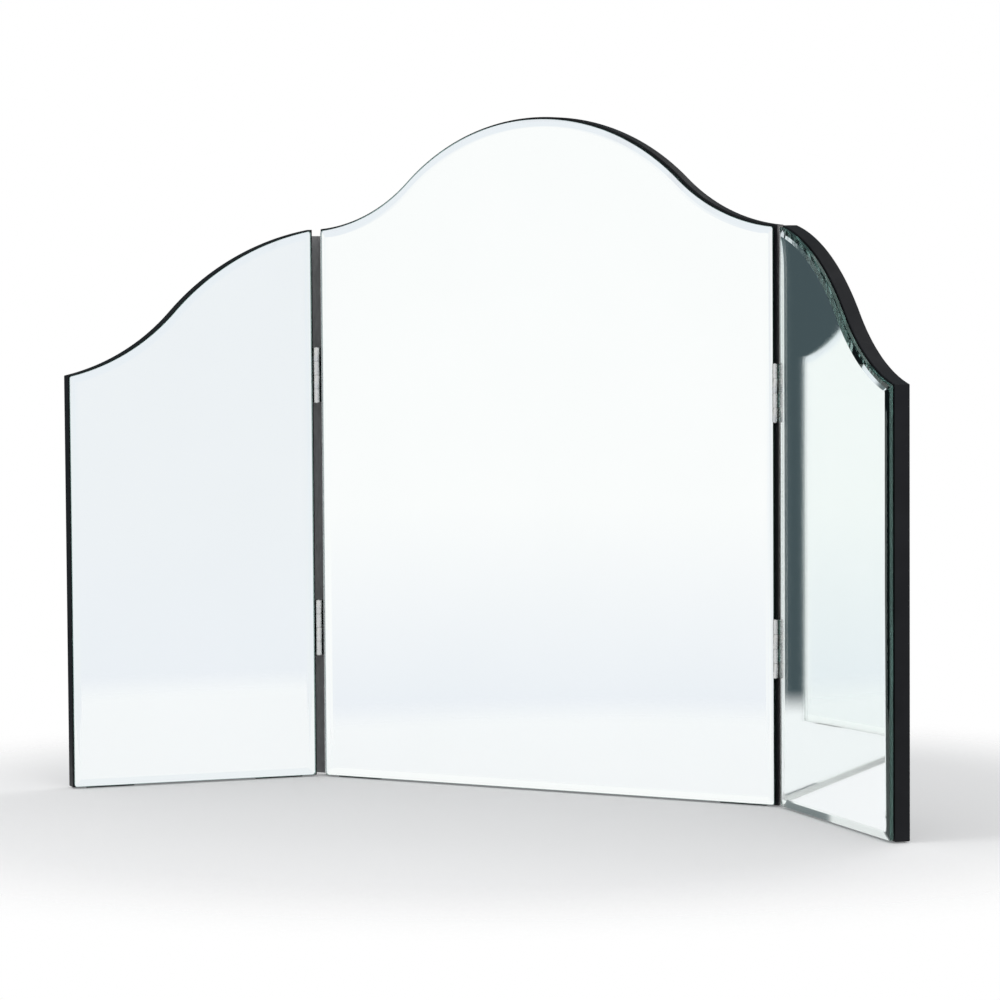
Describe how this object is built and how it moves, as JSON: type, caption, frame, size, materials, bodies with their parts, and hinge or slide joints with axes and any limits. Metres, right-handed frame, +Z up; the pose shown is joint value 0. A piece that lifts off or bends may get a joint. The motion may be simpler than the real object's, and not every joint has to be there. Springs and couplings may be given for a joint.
{
  "type": "tabletop makeup mirror",
  "caption": "Frameless folding vanity mirror: an arched centre panel and two hinged wings, bevelled mirror glass on black backboards.",
  "frame": {"origin": "on the table, in the middle of the footprint of the mirror as it stands with both wings folded forward, the left one by 50 degrees and the right one by 41.2", "axes": "+X to the right as a person sits at the mirror, +Y back through the glass, +Z up"},
  "size_m": [0.7346, 0.1756, 0.5388],
  "materials": {
    "mirror_glass": "silvered float glass with a polished bevel and a green-tinted polished edge",
    "backboard": "fibreboard painted satin black on every face",
    "mounting_tape": "white double-sided foam mounting tape",
    "hinge_nickel": "nickel-plated steel, satin on the leaves and brighter on the knuckles",
    "hinge_screw": "nickel-plated steel, turned head",
    "felt_pad": "black felt",
    "joint_strip": "dark grey vulcanised fibre, matt"
  },
  "bodies": {
    "centre_panel": {"centre_backboard": "backboard", "centre_mirror_glass": "mirror_glass", "centre_left_mounting_tape": "mounting_tape", "centre_middle_mounting_tape": "mounting_tape", "centre_right_mounting_tape": "mounting_tape", "centre_left_pad": "felt_pad", "centre_right_pad": "felt_pad", "left_joint_cover_strip": "joint_strip", "right_joint_cover_strip": "joint_strip", "lower_left_hinge_pin": "hinge_nickel", "lower_left_hinge_centre_leaf": "hinge_nickel", "lower_left_hinge_centre_screw_1": "hinge_screw", "lower_left_hinge_centre_screw_2": "hinge_screw", "upper_left_hinge_pin": "hinge_nickel", "upper_left_hinge_centre_leaf": "hinge_nickel", "upper_left_hinge_centre_screw_1": "hinge_screw", "upper_left_hinge_centre_screw_2": "hinge_screw", "lower_right_hinge_pin": "hinge_nickel", "lower_right_hinge_centre_leaf": "hinge_nickel", "lower_right_hinge_centre_screw_1": "hinge_screw", "lower_right_hinge_centre_screw_2": "hinge_screw", "upper_right_hinge_pin": "hinge_nickel", "upper_right_hinge_centre_leaf": "hinge_nickel", "upper_right_hinge_centre_screw_1": "hinge_screw", "upper_right_hinge_centre_screw_2": "hinge_screw"},
    "left_wing": {"left_backboard": "backboard", "left_mirror_glass": "mirror_glass", "left_inner_mounting_tape": "mounting_tape", "left_outer_mounting_tape": "mounting_tape", "left_inner_pad": "felt_pad", "left_outer_pad": "felt_pad", "lower_left_hinge_wing_leaf": "hinge_nickel", "lower_left_hinge_wing_screw_1": "hinge_screw", "lower_left_hinge_wing_screw_2": "hinge_screw", "upper_left_hinge_wing_leaf": "hinge_nickel", "upper_left_hinge_wing_screw_1": "hinge_screw", "upper_left_hinge_wing_screw_2": "hinge_screw"},
    "right_wing": {"right_backboard": "backboard", "right_mirror_glass": "mirror_glass", "right_inner_mounting_tape": "mounting_tape", "right_outer_mounting_tape": "mounting_tape", "right_inner_pad": "felt_pad", "right_outer_pad": "felt_pad", "lower_right_hinge_wing_leaf": "hinge_nickel", "lower_right_hinge_wing_screw_1": "hinge_screw", "lower_right_hinge_wing_screw_2": "hinge_screw", "upper_right_hinge_wing_leaf": "hinge_nickel", "upper_right_hinge_wing_screw_1": "hinge_screw", "upper_right_hinge_wing_screw_2": "hinge_screw"}
  },
  "joints": [
    {"name": "left_wing_fold", "type": "hinge", "parent": "centre_panel", "child": "left_wing", "pos_m": [-0.21944, 0.06956, 0.228], "axis": [0, 0, 1], "range_deg": [-50, 130]},
    {"name": "right_wing_fold", "type": "hinge", "parent": "centre_panel", "child": "right_wing", "pos_m": [0.19856, 0.06956, 0.223], "axis": [0, 0, -1], "range_deg": [-41.2, 138.8]}
  ]
}
